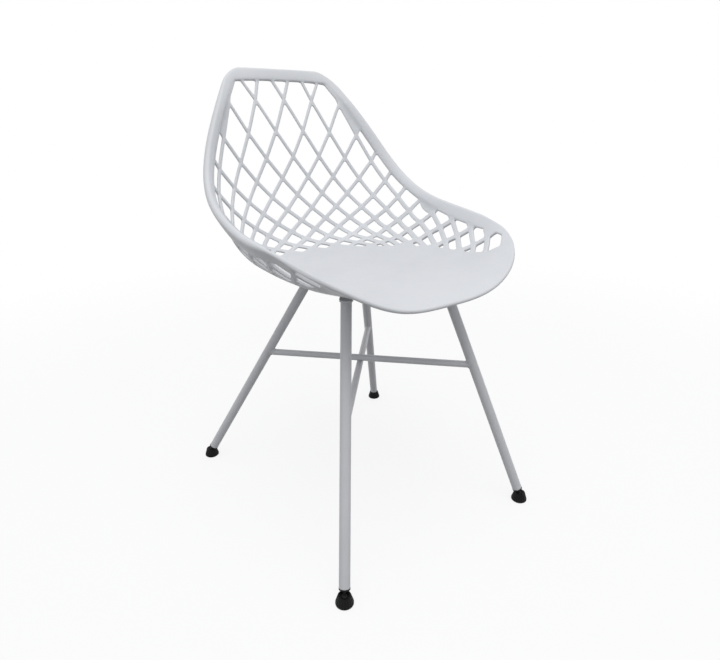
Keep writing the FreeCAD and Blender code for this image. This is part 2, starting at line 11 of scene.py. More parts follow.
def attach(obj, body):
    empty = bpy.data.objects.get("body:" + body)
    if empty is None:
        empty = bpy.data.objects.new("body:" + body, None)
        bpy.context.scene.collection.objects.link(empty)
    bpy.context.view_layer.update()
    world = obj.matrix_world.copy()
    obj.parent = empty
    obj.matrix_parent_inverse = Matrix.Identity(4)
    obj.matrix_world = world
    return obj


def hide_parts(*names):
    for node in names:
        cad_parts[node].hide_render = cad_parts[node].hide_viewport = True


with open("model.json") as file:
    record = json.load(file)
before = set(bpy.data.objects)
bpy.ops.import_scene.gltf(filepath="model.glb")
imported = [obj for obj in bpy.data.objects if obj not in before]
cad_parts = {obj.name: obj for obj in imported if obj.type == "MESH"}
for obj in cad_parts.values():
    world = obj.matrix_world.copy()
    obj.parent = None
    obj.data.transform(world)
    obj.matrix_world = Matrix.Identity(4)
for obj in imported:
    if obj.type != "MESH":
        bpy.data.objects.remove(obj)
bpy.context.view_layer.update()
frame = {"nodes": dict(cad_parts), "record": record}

MM = 0.001

# Shell sizes in mm. Front is -Y, the floor is z = 0, X = 0 is the plane of symmetry.
SEAT_H = 452.0
BACK_RISE = 352.0
SHELL_W = 463.0
SHELL_D = 511.0
LIP_Y = -245.2
SHEET_T = 5.0
RIM_W = 28.0
RIM_TOP_W = 24.0
RIM_T = 14.0
RIM_PROUD = 4.5
RIM_TOP_PROUD = 2.6
RIM_TOP_END = 72.0
RIM_BEAD_POWER = 0.38
CORNER_R = 28.0
LIP_CORNER_R = 30.0
EDGE_ROUND = 4.5

# Extra depth of the wings' lattice and of the lip, most of it on the sitting face
WING_DEEP = 2.0
WING_FROM, WING_TO = 120.0, 185.0
LIP_DEEP = 2.2
DEEP_FRONT = 0.8

# Cross curves: exponents, the fan angles between which they and the rim change, and the bow of the lip
SHAPE_BACK = 3.2
SHAPE_SEAT = 4.6
SHAPE_FRONT = 3.3
SEAT_FROM, SEAT_TO = -25.0, -55.0
FRONT_FROM, FRONT_TO = -105.0, -137.0
RIM_FADE_FROM, RIM_FADE_TO = -85.0, -128.0
LIP_BOW = 3.7
LIP_BOW_FROM = -95.0
LIP_BOW_POWER = 2.8

# Strands of the lattice: they widen from the top row to the last level row, and toward the wings
STRAND_W = 6.3
STRAND_LOW_W = 8.6
STRAND_GAIN = 2.4
GAIN_FROM, GAIN_TO = 4.0, 10.0
STRAND_ROUND = 2.4
STRAND_DRAFT = 1.2
ROUND_SHARE = 0.45

# Rows of crossings, level behind the sitter and falling toward the front on the wings
ROW_TOP_FRAC = 0.84
ROW_STEP = 58.5
ROW_SHRINK = 0.8325
TOP_ROW = 4
LAST_ROW = 12
FLAT_ROWS = 4
LAST_STEP = 13.7
ROW_SAG = 0.44
SAG_COLS = 6.0
SAG_ROW_FROM, SAG_ROW_TO = 5.5, 13.0
FALL_FROM = 299.0
ROW_FALL = 0.14

# Columns of crossings, widening on the wings
COL_STEP = 29.7
COL_SHRINK = 0.168
COL_TAPER = 0.016
TAPER_ROW = 8
WING_COL = 9.0
COL_GAIN = 2.96
LAST_COL = 23

# Openings: the least size that is cut, round corners and the closed strip behind the lip
HOLE_MIN = 8.0
HOLE_CORNER_R = 3.2
CORNER_SHARE = 0.42
SIDE_MIN = 1.5
LIP_CLEAR = 36.0
TOP_CORNER_R = 24.0
TOP_CORNER_CUTS = [15, 35, 55, 75]

# Edge of the closed pan: its back, where it is full, and its side, as shares of profile and half width
PAN_BACK = 0.484
PAN_FULL = 0.831
PAN_SIDE = 0.769
PAN_POWER = 2.6
PAN_POINTS = 25

# Legs and rods: ends of the legs' axes, and heights where the rods meet them
SIDES = {"front_left": (1, -1), "front_right": (-1, -1), "rear_left": (1, 1), "rear_right": (-1, 1)}
TUBE_D = 18.0
ROD_D = 12.5
FOOT_FRONT, TOP_FRONT = (209.0, -256.7, 12.0), (103.3, -118.7, 440.0)
FOOT_REAR, TOP_REAR = (231.0, 252.3, 12.0), (57.8, 60.0, 440.0)
RODS = [("front_left", 281.0, "rear_right", 270.0), ("front_right", 261.0, "rear_left", 266.0)]

# Screw bosses under the pan
SCREW_IN = 22.0
SCREW_PITCH = 24.0
BOSS_D = 16.0
BOSS_Z = 443.0
BOSS_FILLET = 2.4
FILLET_ANGLES = [18, 36, 54, 72, 90]
BOSS_SINK = 2.6
BOSS_RAISE = 0.3
BOSS_EDGE = 0.5
BORE_D = 8.2
BORE_DEPTH = 5.5
BORE_EDGE = 0.3

# Weld beads: their width, ripples, and section as shares of the width outward and along the bar
ROD_WELD = 2.6
PLATE_WELD = 1.7
WELD_RIPPLE = 0.22
WELD_RIPPLES = 13
WELD_POINTS = 120
WELD_SECTION = [(0.0, 1.0), (0.1, 0.62), (0.3, 0.3), (0.62, 0.1), (1.0, 0.0), (0.5, -0.35), (-0.3, 0.4)]

# Fineness of the meshes: steps in mm, counts, and the rim's lines as distances from its edge
OUTLINE_STEP = 6.0
EDGE_STEP = 5.0
PAN_STEP = 9.0
PAN_CLEAR = 3.0
ROUND_STEPS = 4
CORNER_STEPS = 6
EDGE_CORNER_STEPS = 12
ROUND_POINTS = 40
RIM_LINES = [6.0, 8.0, 11.0, 14.5, 18.0, 21.0, 23.5]

# Guide curves as fractions of the shell's width, depth and rise: the middle profile and the rim
MIDDLE = [(1.0, 1.0), (0.956, 0.825), (0.907, 0.541), (0.885, 0.318), (0.864, 0.195), (0.835, 0.08),
          (0.769, 0.023), (0.67, 0.004), (0.5, -0.003), (0.3, 0.001), (0.12, 0.004), (0.05, -0.005),
          (0.0, -0.011)]
RIM = [(0.484, 0.989, 0.983), (0.636, 0.912, 0.826), (0.796, 0.843, 0.642), (0.906, 0.773, 0.484),
       (0.966, 0.672, 0.367), (0.986, 0.525, 0.296), (0.997, 0.384, 0.262), (0.968, 0.27, 0.238),
       (0.918, 0.141, 0.19)]

# Axis of the fan of angles, the length of one degree near the shell, and steps of the row lines
FAN_DEPTH, FAN_RISE = 0.358, 0.477
FAN_Y = LIP_Y + FAN_DEPTH * SHELL_D
FAN_Z = SEAT_H + FAN_RISE * BACK_RISE
FAN_MM = 4.5
ROW_MARCH = 4.0
ROW_TH, ROW_K = 0.1, 0.004
ROW_TRIES = 3

# Fineness of the curves: guide points, grid of lengths, steps for slopes, and how places are searched
GUIDE_STEPS = 400
GUIDE_PAST = 20
GRID_DOWN, GRID_ACROSS = 340, 126
K_REACH = 1.25
K_EDGE = 0.995
STEP_TH, STEP_K = 0.2, 0.002
SEARCH_ABOVE, SEARCH_STEP = 16.0, 0.05
FLAT_FROM, FLAT_TO = -140.0, -40.0
FLAT_STEPS = 1200
HALVINGS = 24


def spline(xs, ys):
    """Natural cubic spline through the points, for arrays of places."""
    xs, ys = np.array(xs), np.array(ys)
    n = len(xs)
    h = np.diff(xs)
    system = np.eye(n)
    right = np.zeros(n)
    for i in range(1, n - 1):
        system[i, i - 1:i + 2] = h[i - 1], 2 * (h[i - 1] + h[i]), h[i]
        right[i] = 3 * ((ys[i + 1] - ys[i]) / h[i] - (ys[i] - ys[i - 1]) / h[i - 1])
    c = np.linalg.solve(system, right)

    def value(x):
        i = np.clip(np.searchsorted(xs, x) - 1, 0, n - 2)
        b = (ys[i + 1] - ys[i]) / h[i] - h[i] * (c[i + 1] + 2 * c[i]) / 3
        t = x - xs[i]
        inside = ys[i] + t * (b + t * (c[i] + t * (c[i + 1] - c[i]) / (3 * h[i])))
        return np.where(x < xs[0], ys[0] + b * t, inside)
    return value


def look(xs, ys, x):
    """Piecewise linear value at x, carried on past both ends."""
    i = np.clip(np.searchsorted(xs, x, side="right") - 1, 0, len(xs) - 2)
    return ys[i] + (ys[i + 1] - ys[i]) * (x - xs[i]) / (xs[i + 1] - xs[i])


def guide(points):
    """A smooth curve through guide points: fan angle, radius and offset across."""
    size = np.array([SHELL_W / 2, SHELL_D, BACK_RISE])
    pts = np.array(points) * size + np.array([0.0, LIP_Y, SEAT_H])
    run = np.concatenate([[0.0], np.cumsum(np.linalg.norm(np.diff(pts, axis=0), axis=1))])
    at = run[-1] * np.arange(-GUIDE_PAST, GUIDE_STEPS + 1) / GUIDE_STEPS
    x, y, z = (spline(run, pts[:, i])(at) for i in range(3))
    angle = np.degrees(np.arctan2(z - FAN_Z, y - FAN_Y))
    order = np.argsort(angle)
    return angle[order], np.hypot(y - FAN_Y, z - FAN_Z)[order], x[order]


MID_TH, MID_RHO, _ = guide([(0.0,) + p for p in MIDDLE])
RIM_TH, RIM_RHO, RIM_X = guide(RIM)
TH_TOP = math.degrees(math.atan2(SEAT_H + BACK_RISE - FAN_Z, LIP_Y + SHELL_D - FAN_Y))
TH_LIP = math.degrees(math.atan2(SEAT_H + MIDDLE[-1][1] * BACK_RISE - FAN_Z, LIP_Y - FAN_Y))


def ease(a, b, x):
    """Smooth step from 0 at a to 1 at b."""
    t = np.clip((x - a) / (b - a), 0.0, 1.0)
    return t * t * (3 - 2 * t)


def section(th, k):
    """Offset across and radius at the fan angle th, k = share of the half width."""
    n = SHAPE_BACK + (SHAPE_SEAT - SHAPE_BACK) * ease(SEAT_FROM, SEAT_TO, th)
    n = n + (SHAPE_FRONT - SHAPE_SEAT) * ease(FRONT_FROM, FRONT_TO, th)
    mid = look(MID_TH, MID_RHO, th)
    rim = look(RIM_TH, RIM_RHO, th)
    return k * look(RIM_TH, RIM_X, th), mid - (mid - rim) * np.abs(k) ** n


def point(th, k):
    """Points of the sitting face, in mm."""
    th, k = np.asarray(th, float), np.asarray(k, float)
    x, r = section(th, k)
    bow = LIP_BOW * ease(LIP_BOW_FROM, TH_LIP, th)
    bow = bow * np.sin(math.pi * np.minimum(np.abs(k), 1.0) ** LIP_BOW_POWER)
    a = np.radians(th - bow)
    return np.stack([x, FAN_Y + r * np.cos(a), FAN_Z + r * np.sin(a)], axis=-1)


def slopes(th, k):
    """Change of the sitting face's points with angle and with share."""
    k = np.clip(k, -K_EDGE, K_EDGE)
    by_th = (point(th + STEP_TH, k) - point(th - STEP_TH, k)) / (2 * STEP_TH)
    by_k = (point(th, k + STEP_K) - point(th, k - STEP_K)) / (2 * STEP_K)
    return by_th, by_k


def normal(th, k):
    """Unit normals of the sitting face, toward the sitter."""
    by_th, by_k = slopes(th, k)
    n = np.cross(by_k, by_th)
    return n / np.linalg.norm(n, axis=-1, keepdims=True)


# Running lengths: down the middle profile, and across at each angle
grid_th = np.linspace(TH_TOP, TH_LIP, GRID_DOWN)
grid_k = np.linspace(0.0, K_REACH, GRID_ACROSS)
middle = point(grid_th, np.zeros_like(grid_th))
grid_s = np.concatenate([[0.0], np.cumsum(np.linalg.norm(np.diff(middle, axis=0), axis=1))])
PROFILE_L = grid_s[-1]
cross_x, cross_r = section(grid_th[:, None], grid_k[None, :])
cross_step = np.hypot(np.diff(cross_x, axis=1), np.diff(cross_r, axis=1))
grid_t = np.concatenate([np.zeros((len(grid_th), 1)), np.cumsum(cross_step, axis=1)], axis=1)
half_at = np.array([np.interp(1.0, grid_k, row) for row in grid_t])


def to_length(th):
    """Length down the middle profile at an angle."""
    return look(-grid_th, grid_s, -np.asarray(th, float))


def to_angle(s):
    """Angle at a length down the middle profile."""
    return look(grid_s, grid_th, np.asarray(s, float))


def half(s):
    """Length from the middle to the rim's edge."""
    return look(grid_s, half_at, np.asarray(s, float))


def across(th, k):
    """Length across from the middle to the share k, with k's sign."""
    th, k = np.broadcast_arrays(np.asarray(th, float), np.asarray(k, float))
    f = np.clip((TH_TOP - th) / (TH_TOP - TH_LIP), 0, 1) * (len(grid_th) - 1)
    i = np.minimum(f.astype(int), len(grid_th) - 2)
    g = np.clip(np.abs(k) / grid_k[-1], 0, 1) * (len(grid_k) - 1)
    j = np.minimum(g.astype(int), len(grid_k) - 2)
    f, g = f - i, g - j
    t = (1 - f) * ((1 - g) * grid_t[i, j] + g * grid_t[i, j + 1])
    t = t + f * ((1 - g) * grid_t[i + 1, j] + g * grid_t[i + 1, j + 1])
    return np.copysign(t, k)


def to_share(s, t):
    """Share of the half width at the lengths s down and t across."""
    f = np.clip(look(grid_s, np.arange(len(grid_s), dtype=float), s), 0, len(grid_s) - 1.001)
    out = []
    for row, size in zip(np.ravel(f), np.ravel(np.abs(t))):
        i = int(row)
        low = np.interp(size, grid_t[i], grid_k)
        out.append(low + (row - i) * (np.interp(size, grid_t[i + 1], grid_k) - low))
    return np.copysign(np.array(out).reshape(np.shape(t)), t)


def row_height(r):
    """Height of row r on the middle profile."""
    below = ROW_STEP * (1 - ROW_SHRINK ** (r - TOP_ROW)) / (1 - ROW_SHRINK)
    return SEAT_H + ROW_TOP_FRAC * BACK_RISE - below


def angle_at(z):
    """Angle where the middle profile, followed down from above the top rail, is at the height z."""
    th = TH_TOP + SEARCH_ABOVE
    while point(th, 0.0)[2] > z:
        th -= SEARCH_STEP
    return th


def level_line(r):
    """The line of one row of crossings, nearly level: running length, angle and share."""
    top = row_height(r)
    sag = ROW_SAG * (1 - ease(SAG_ROW_FROM, SAG_ROW_TO, r)) / COL_STEP ** 2
    far = SAG_COLS * COL_STEP
    th, k, run = angle_at(top), 0.0, 0.0
    line = [(run, th, k)]
    last = point(th, k)
    while k < K_REACH and th > TH_LIP and run < 2 * SHELL_W:
        for _ in range(ROW_TRIES):
            near = point(np.array([th + ROW_TH, th - ROW_TH, th, th, th]),
                         np.array([k, k, k + ROW_K, max(k - ROW_K, 0), k]))[:, 2]
            ga = (near[0] - near[1]) / (2 * ROW_TH * FAN_MM)
            gb = (near[2] - near[3]) / (2 * ROW_K * SHELL_W / 2)
            drop = sag * min(run, far) ** 2 + ROW_FALL * max(run - FALL_FROM, 0.0)
            miss = (top - drop - near[4]) / (ga * ga + gb * gb)
            th += miss * ga / FAN_MM
            k += miss * gb / (SHELL_W / 2)
        here = point(th, k)
        run += np.linalg.norm(here - last)
        last = here
        line.append((run, th, k))
        size = math.hypot(ga, gb) / ROW_MARCH
        th -= gb / size / FAN_MM
        k += ga / size / (SHELL_W / 2)
    return np.array([line[0]] + line[2:])


def moved_line(line, gap):
    """A row's line moved down onto the flat of the seat by gap."""
    line = line[line[:, 2] <= 1]
    flat = np.stack([to_length(line[:, 1]), across(line[:, 1], line[:, 2])], axis=1)
    ahead = np.roll(flat, -1, axis=0)[:-1]
    behind = np.vstack([flat[:1], flat[:-2]])
    way = ahead - behind
    way /= np.linalg.norm(way, axis=1, keepdims=True)
    moved = flat[:-1] + gap * np.stack([way[:, 1], -way[:, 0]], axis=1)
    return moved[(moved[:, 1] >= 0) & (moved[:, 0] <= PROFILE_L)]


def with_runs(flat):
    """A line of lengths down and across, as running length, angle and share."""
    th = to_angle(flat[:, 0])
    k = to_share(flat[:, 0], flat[:, 1])
    steps = np.linalg.norm(np.diff(point(th, k), axis=0), axis=1)
    return np.stack([np.concatenate([[0.0], np.cumsum(steps)]), th, k], axis=1)


def crossing(lines, d, r):
    """The crossing d columns from the middle on row r: its point and its lengths, or None."""
    line = lines[r]
    t = COL_STEP * abs(d) - COL_SHRINK * d * d + COL_GAIN * max(abs(d) - WING_COL, 0.0)
    t *= 1 + COL_TAPER * (TAPER_ROW - r)
    if t > line[-1, 0]:
        if r >= TOP_ROW:
            return None
        a, b = crossing(lines, d, r + 2), crossing(lines, d, r + 4)
        return None if a is None or b is None else (2 * a[0] - b[0], 2 * a[1] - b[1])
    th = look(line[:, 0], line[:, 1], t)
    k = math.copysign(look(line[:, 0], line[:, 2], t), d)
    return point(th, k), np.array([to_length(th), across(th, k)])


def clip(poly, p, q):
    """Part of a polygon to the left of the line from p to q."""
    out = []
    side = [(q[0] - p[0]) * (v[1] - p[1]) - (q[1] - p[1]) * (v[0] - p[0]) for v in poly]
    for i, a in enumerate(poly):
        b, fa, fb = poly[(i + 1) % len(poly)], side[i], side[(i + 1) % len(poly)]
        if fa >= 0:
            out.append(a)
        if fa * fb < 0:
            out.append(a + fa / (fa - fb) * (b - a))
    return out


def strand_width(r, d):
    """Width of the strands around the opening of row r and column d."""
    low = np.clip((r - TOP_ROW) / (LAST_ROW - TOP_ROW), 0, 1)
    wing = STRAND_GAIN * ease(GAIN_FROM, GAIN_TO, abs(d))
    return STRAND_W + (STRAND_LOW_W - STRAND_W + wing) * low


def inset(corners, width):
    """Opening between four strands: the corners drawn in by half a strand."""
    out = []
    for i in range(4):
        v, n, p = corners[i], corners[(i + 1) % 4], corners[i - 1]
        e1, e2 = n[0] - v[0], p[0] - v[0]
        l1, l2 = np.linalg.norm(e1), np.linalg.norm(e2)
        sin = np.linalg.norm(np.cross(e1, e2)) / (l1 * l2)
        size = width / 2 / sin
        out.append(v[1] + size / l1 * (n[1] - v[1]) + size / l2 * (p[1] - v[1]))
    return out


def area(poly):
    """Signed area of a polygon."""
    x, y = np.array(poly).T
    return (x * np.roll(y, -1) - np.roll(x, -1) * y).sum() / 2


def without_short_sides(poly):
    """The polygon without corners that lie close to the one before."""
    out = []
    for p in poly:
        if not out or np.linalg.norm(p - out[-1]) > SIDE_MIN:
            out.append(p)
    if len(out) > 2 and np.linalg.norm(out[0] - out[-1]) < SIDE_MIN:
        out.pop()
    return out


def pan_edge():
    """Edge of the closed pan from its right side over the back to its left side."""
    back, full, side = PAN_BACK * PROFILE_L, PAN_FULL * PROFILE_L, PAN_SIDE * SHELL_W / 2
    a = np.radians(np.linspace(0, 90, PAN_POINTS))
    s = full - (full - back) * np.maximum(np.cos(a), 0) ** (2 / PAN_POWER)
    edge = np.vstack([np.stack([s, side * np.sin(a) ** (2 / PAN_POWER)], axis=1), [(PROFILE_L, side)]])
    return np.vstack([edge[:0:-1] * np.array([1, -1]), edge])


def clip_corner(poly):
    """Part of a polygon inside the rim's inner corners at the top."""
    s = RIM_TOP_W + TOP_CORNER_R
    for side in (1, -1):
        mid = np.array([s, side * (half(s) - RIM_W - TOP_CORNER_R)])
        for a in np.radians(TOP_CORNER_CUTS):
            out = np.array([-math.cos(a), side * math.sin(a)])
            p = mid + TOP_CORNER_R * out
            poly = clip(poly, p, p + np.array([-out[1], out[0]])) if len(poly) > 2 else poly
    return poly


def openings():
    """Outlines of the lattice's openings, as lengths down and across."""
    lines = {r: level_line(r) for r in range(TOP_ROW - 2, LAST_ROW + 1)}
    for r in range(LAST_ROW + 1, LAST_ROW + FLAT_ROWS + 1):
        lines[r] = with_runs(moved_line(lines[LAST_ROW], LAST_STEP * (r - LAST_ROW)))
    edge = pan_edge()
    end = PROFILE_L - LIP_CLEAR
    out = []
    for r in range(TOP_ROW - 1, LAST_ROW + FLAT_ROWS):
        for d in range(-LAST_COL, LAST_COL + 1):
            if (r - d) % 2 == 0:
                continue
            corners = [crossing(lines, *c) for c in ((d - 1, r), (d, r + 1), (d + 1, r), (d, r - 1))]
            if any(c is None for c in corners):
                continue
            poly = inset(corners, strand_width(r, d))
            if area(poly) < 0:
                poly.reverse()
            s0, s1 = min(p[0] for p in poly), max(p[0] for p in poly)
            if s1 < RIM_TOP_W + HOLE_MIN or s0 > end:
                continue
            s0 = max(s0, 0.0)
            h0, h1 = half(s0) - RIM_W, half(s1) - RIM_W
            for p, q in (((RIM_TOP_W, 1.0), (RIM_TOP_W, 0.0)), ((end, 0.0), (end, 1.0)),
                         ((s1, h1), (s0, h0)), ((s0, -h0), (s1, -h1))):
                poly = clip(poly, p, q) if len(poly) > 2 else poly
            if s0 < RIM_TOP_W + TOP_CORNER_R:
                poly = clip_corner(poly)
            if len(poly) < 3:
                continue
            mid = np.mean(poly, axis=0)
            a, b = edge[:-1], edge[1:]
            f = np.clip(((mid - a) * (b - a)).sum(1) / ((b - a) ** 2).sum(1), 0, 1)
            near = np.argmin(np.linalg.norm(a + f[:, None] * (b - a) - mid, axis=1))
            poly = clip(poly, a[near], b[near])
            poly = without_short_sides(poly) if len(poly) > 2 else poly
            if len(poly) < 3:
                continue
            long = max(np.linalg.norm(p - q) for p in poly for q in poly)
            if area(poly) / long < HOLE_MIN / 2 or area(poly) < HOLE_MIN * HOLE_MIN:
                continue
            out.append(np.array(poly))
    return out


def place(lengths):
    """Points of the sitting face at lengths down and across."""
    return point(to_angle(lengths[:, 0]), to_share(lengths[:, 0], lengths[:, 1]))


def rounded(poly):
    """The outline with round corners, evenly filled."""
    at = place(poly)
    n = len(poly)
    sides = np.linalg.norm(np.roll(at, -1, axis=0) - at, axis=1)
    out = []
    for i in range(n):
        a, v, b = poly[i - 1], poly[i], poly[(i + 1) % n]
        to_a, to_b = (at[i - 1] - at[i]) / sides[i - 1], (at[(i + 1) % n] - at[i]) / sides[i]
        angle = math.acos(np.clip(to_a @ to_b, -1, 1))
        cut = HOLE_CORNER_R / math.tan(angle / 2)
        fa, fb = min(cut / sides[i - 1], CORNER_SHARE), min(cut / sides[i], CORNER_SHARE)
        p, q = v + fa * (a - v), v + fb * (b - v)
        for j in range(CORNER_STEPS):
            u = j / (CORNER_STEPS - 1)
            out.append((1 - u) ** 2 * p + 2 * u * (1 - u) * v + u * u * q)
        turn = (at[(i + 2) % n] - at[(i + 1) % n]) / sides[(i + 1) % n]
        next_angle = math.acos(np.clip(-to_b @ turn, -1, 1))
        f_end = 1 - min(HOLE_CORNER_R / math.tan(next_angle / 2) / sides[i], CORNER_SHARE)
        steps = int((f_end - fb) * sides[i] / OUTLINE_STEP)
        for j in range(1, steps + 1):
            out.append(v + (fb + (f_end - fb) * j / (steps + 1)) * (b - v))
    return np.array(out)


def edge_gap(s, t):
    """Distance from the shell's edge at its top and sides, scaled to the rim's width on the sides."""
    s, t = np.broadcast_arrays(np.asarray(s, float), np.asarray(t, float))
    top = RIM_TOP_W / RIM_W
    side = half(s) - np.abs(t)
    a, b = np.maximum(CORNER_R - s, 0), np.maximum(CORNER_R - side, 0)
    low, high = np.zeros_like(s), np.full_like(s, 0.999 * CORNER_R)
    for _ in range(HALVINGS):
        e = (low + high) / 2
        out = (a / (CORNER_R - e * top)) ** 2 + (b / (CORNER_R - e)) ** 2 > 1
        low, high = np.where(out, low, e), np.where(out, e, high)
    return np.where((a > 0) & (b > 0), low, np.minimum(s / top, side))


def faces_at(th, k):
    """Heights of the front and back faces over the sitting surface: rim, deep lattice of the wings, lip."""
    s, t = to_length(th), across(th, k)
    f = np.clip(edge_gap(s, t) / RIM_W, 0, 1)
    full = 1 - ease(RIM_FADE_FROM, RIM_FADE_TO, th)
    bead = np.maximum(np.sin(math.pi * f), 0) ** RIM_BEAD_POWER * full
    wing = ease(SEAT_FROM, SEAT_TO, th) * ease(WING_FROM, WING_TO, np.abs(t))
    deep = WING_DEEP * wing * full * (1 - bead) + LIP_DEEP * ease(FRONT_FROM, FRONT_TO, th)
    proud = RIM_TOP_PROUD + (RIM_PROUD - RIM_TOP_PROUD) * ease(RIM_TOP_W, RIM_TOP_END, s)
    front = proud * bead + DEEP_FRONT * deep
    return front, -SHEET_T - (RIM_T - SHEET_T - RIM_PROUD) * bead - (1 - DEEP_FRONT) * deep


def edge_loop(e):
    """A line round the shell at the distance e from its edge, as lengths down and across."""
    top_s = e * RIM_TOP_W / RIM_W
    top_t = half(0.0) - CORNER_R
    n_top = int(2 * top_t / EDGE_STEP)
    loop = [(top_s, -top_t + 2 * top_t * i / n_top) for i in range(1, n_top)]
    side = []
    for i in range(EDGE_CORNER_STEPS):
        a = math.radians(90 * i / EDGE_CORNER_STEPS)
        s = CORNER_R - (CORNER_R - top_s) * math.cos(a)
        side.append((s, half(s) - CORNER_R + (CORNER_R - e) * math.sin(a)))
    low_s = PROFILE_L - LIP_CORNER_R
    n_side = int((low_s - CORNER_R) / EDGE_STEP)
    for i in range(n_side):
        s = CORNER_R + (low_s - CORNER_R) * i / n_side
        side.append((s, half(s) - e))
    for i in range(EDGE_CORNER_STEPS + 1):
        a = math.radians(90 * i / EDGE_CORNER_STEPS)
        s = low_s + (LIP_CORNER_R - e) * math.sin(a)
        side.append((s, half(s) - LIP_CORNER_R + (LIP_CORNER_R - e) * math.cos(a)))
    lip_t = side[-1][1]
    n_lip = int(2 * half(PROFILE_L) / EDGE_STEP)
    lip = [(PROFILE_L - e, lip_t - 2 * lip_t * i / n_lip) for i in range(1, n_lip)]
    return np.array(loop + side + lip + [(s, -t) for s, t in reversed(side)])


class Skin:
    """Collects a mesh's vertices and faces."""

    def __init__(self):
        self.verts = []
        self.faces = []
        self.count = 0

    def add(self, pts):
        """Adds vertices and returns their numbers."""
        self.verts.append(pts)
        self.count += len(pts)
        return np.arange(self.count - len(pts), self.count)

    def bridge(self, a, b):
        """Quads between two closed rings of vertices."""
        for i in range(len(a)):
            j = (i + 1) % len(a)
            self.faces.append((a[i], a[j], b[j], b[i]))


def ring_rows(skin, th, k, share):
    """Front and back rings of one closed line: share 0 at mid thickness, 1 on the faces."""
    at, n = point(th, k), normal(th, k)
    up, down = faces_at(th, k)
    mid = (up + down) / 2
    front = skin.add(at + n * (mid + (up - mid) * share)[:, None])
    if share == 0:
        return front, front
    return front, skin.add(at + n * (mid + (down - mid) * share)[:, None])


def quarter_round():
    """Points of a rounding of size 1: distance from the wall and depth under the face."""
    angles = np.radians(np.linspace(0, 90, ROUND_STEPS + 1))
    return [(1 - math.cos(a), 1 - math.sin(a)) for a in angles]


def wall_ring(skin, th, k, face, deep):
    """One ring of an opening's wall, at a depth under the front (0) or back (1) face."""
    up, down = faces_at(th, k)
    deep = np.minimum(deep, ROUND_SHARE * (up - down))
    height = down + deep if face else up - deep
    return skin.add(point(th, k) + normal(th, k) * height[:, None])


def hole_rings(skin, outline):
    """Rounded wall of one opening; returns its outermost ring, front and back, and that ring's lengths."""
    th, k = to_angle(outline[:, 0]), to_share(outline[:, 0], outline[:, 1])
    at, n = point(th, k), normal(th, k)
    along = np.roll(at, -1, axis=0) - np.roll(at, 1, axis=0)
    away = np.cross(along, n)
    away /= np.linalg.norm(away, axis=1, keepdims=True)
    if ((at - at.mean(axis=0)) * away).sum() < 0:
        away = -away
    by_th, by_k = slopes(th, k)
    a, b, c = (by_th ** 2).sum(1), (by_th * by_k).sum(1), (by_k ** 2).sum(1)
    p, q = (by_th * away).sum(1), (by_k * away).sum(1)
    det = a * c - b * b
    d_th, d_k = (c * p - b * q) / det, (a * q - b * p) / det
    walls = []
    for face, start in enumerate((0.0, STRAND_DRAFT)):
        size = STRAND_ROUND - start
        rows = [(start + size * inward, size * deep) for inward, deep in quarter_round()]
        walls.append([wall_ring(skin, th + d_th * out, k + d_k * out, face, deep) for out, deep in rows])
    front, back = walls
    for a, b in zip(front, front[1:]):
        skin.bridge(a, b)
    for a, b in zip(back, back[1:]):
        skin.bridge(b, a)
    skin.bridge(back[0], front[0])
    th, k = th + d_th * STRAND_ROUND, k + d_k * STRAND_ROUND
    return (front[-1], back[-1]), np.stack([to_length(th), across(th, k)], axis=1)


def rim_rings(skin):
    """Rounded edge and rim band all round; returns the innermost ring, front and back, and its lengths."""
    previous = None
    levels = [(EDGE_ROUND * inward, 1 - deep) for inward, deep in quarter_round()]
    for e, share in levels + [(e, 1.0) for e in RIM_LINES]:
        loop = edge_loop(e)
        th, k = to_angle(loop[:, 0]), to_share(loop[:, 0], loop[:, 1])
        rings = ring_rows(skin, th, k, share)
        if previous:
            skin.bridge(rings[0], previous[0])
            skin.bridge(previous[1], rings[1])
        previous = rings
    return previous, loop


def inside_any(p, outlines, boxes, margin):
    """Whether a point lies inside an outline or closer to it than the margin."""
    for outline, (low, high) in zip(outlines, boxes):
        if (p < low - margin).any() or (p > high + margin).any():
            continue
        a, b = outline, np.roll(outline, -1, axis=0)
        f = np.clip(((p - a) * (b - a)).sum(1) / ((b - a) ** 2).sum(1), 0, 1)
        if np.linalg.norm(a + f[:, None] * (b - a) - p, axis=1).min() < margin:
            return True
        over = (a[:, 1] > p[1]) != (b[:, 1] > p[1])
        cut = a[over, 0] + (p[1] - a[over, 1]) / (b[over, 1] - a[over, 1]) * (b[over, 0] - a[over, 0])
        if (cut > p[0]).sum() % 2:
            return True
    return False


def filling_points(outlines):
    """Points spread over the closed parts of the shell, clear of the openings."""
    boxes = [(o.min(axis=0), o.max(axis=0)) for o in outlines]
    out = []
    for s in np.arange(RIM_W, PROFILE_L - RIM_LINES[-1] - PAN_STEP / 2, PAN_STEP):
        reach = float(half(s)) - RIM_LINES[-1] - PAN_STEP / 2
        for t in np.linspace(-reach, reach, int(2 * reach / PAN_STEP)):
            p = np.array([s, t])
            clear = edge_gap(s, t) > RIM_LINES[-1] + PAN_CLEAR
            if clear and not inside_any(p, outlines, boxes, PAN_STEP / 2):
                out.append(p)
    return np.array(out)


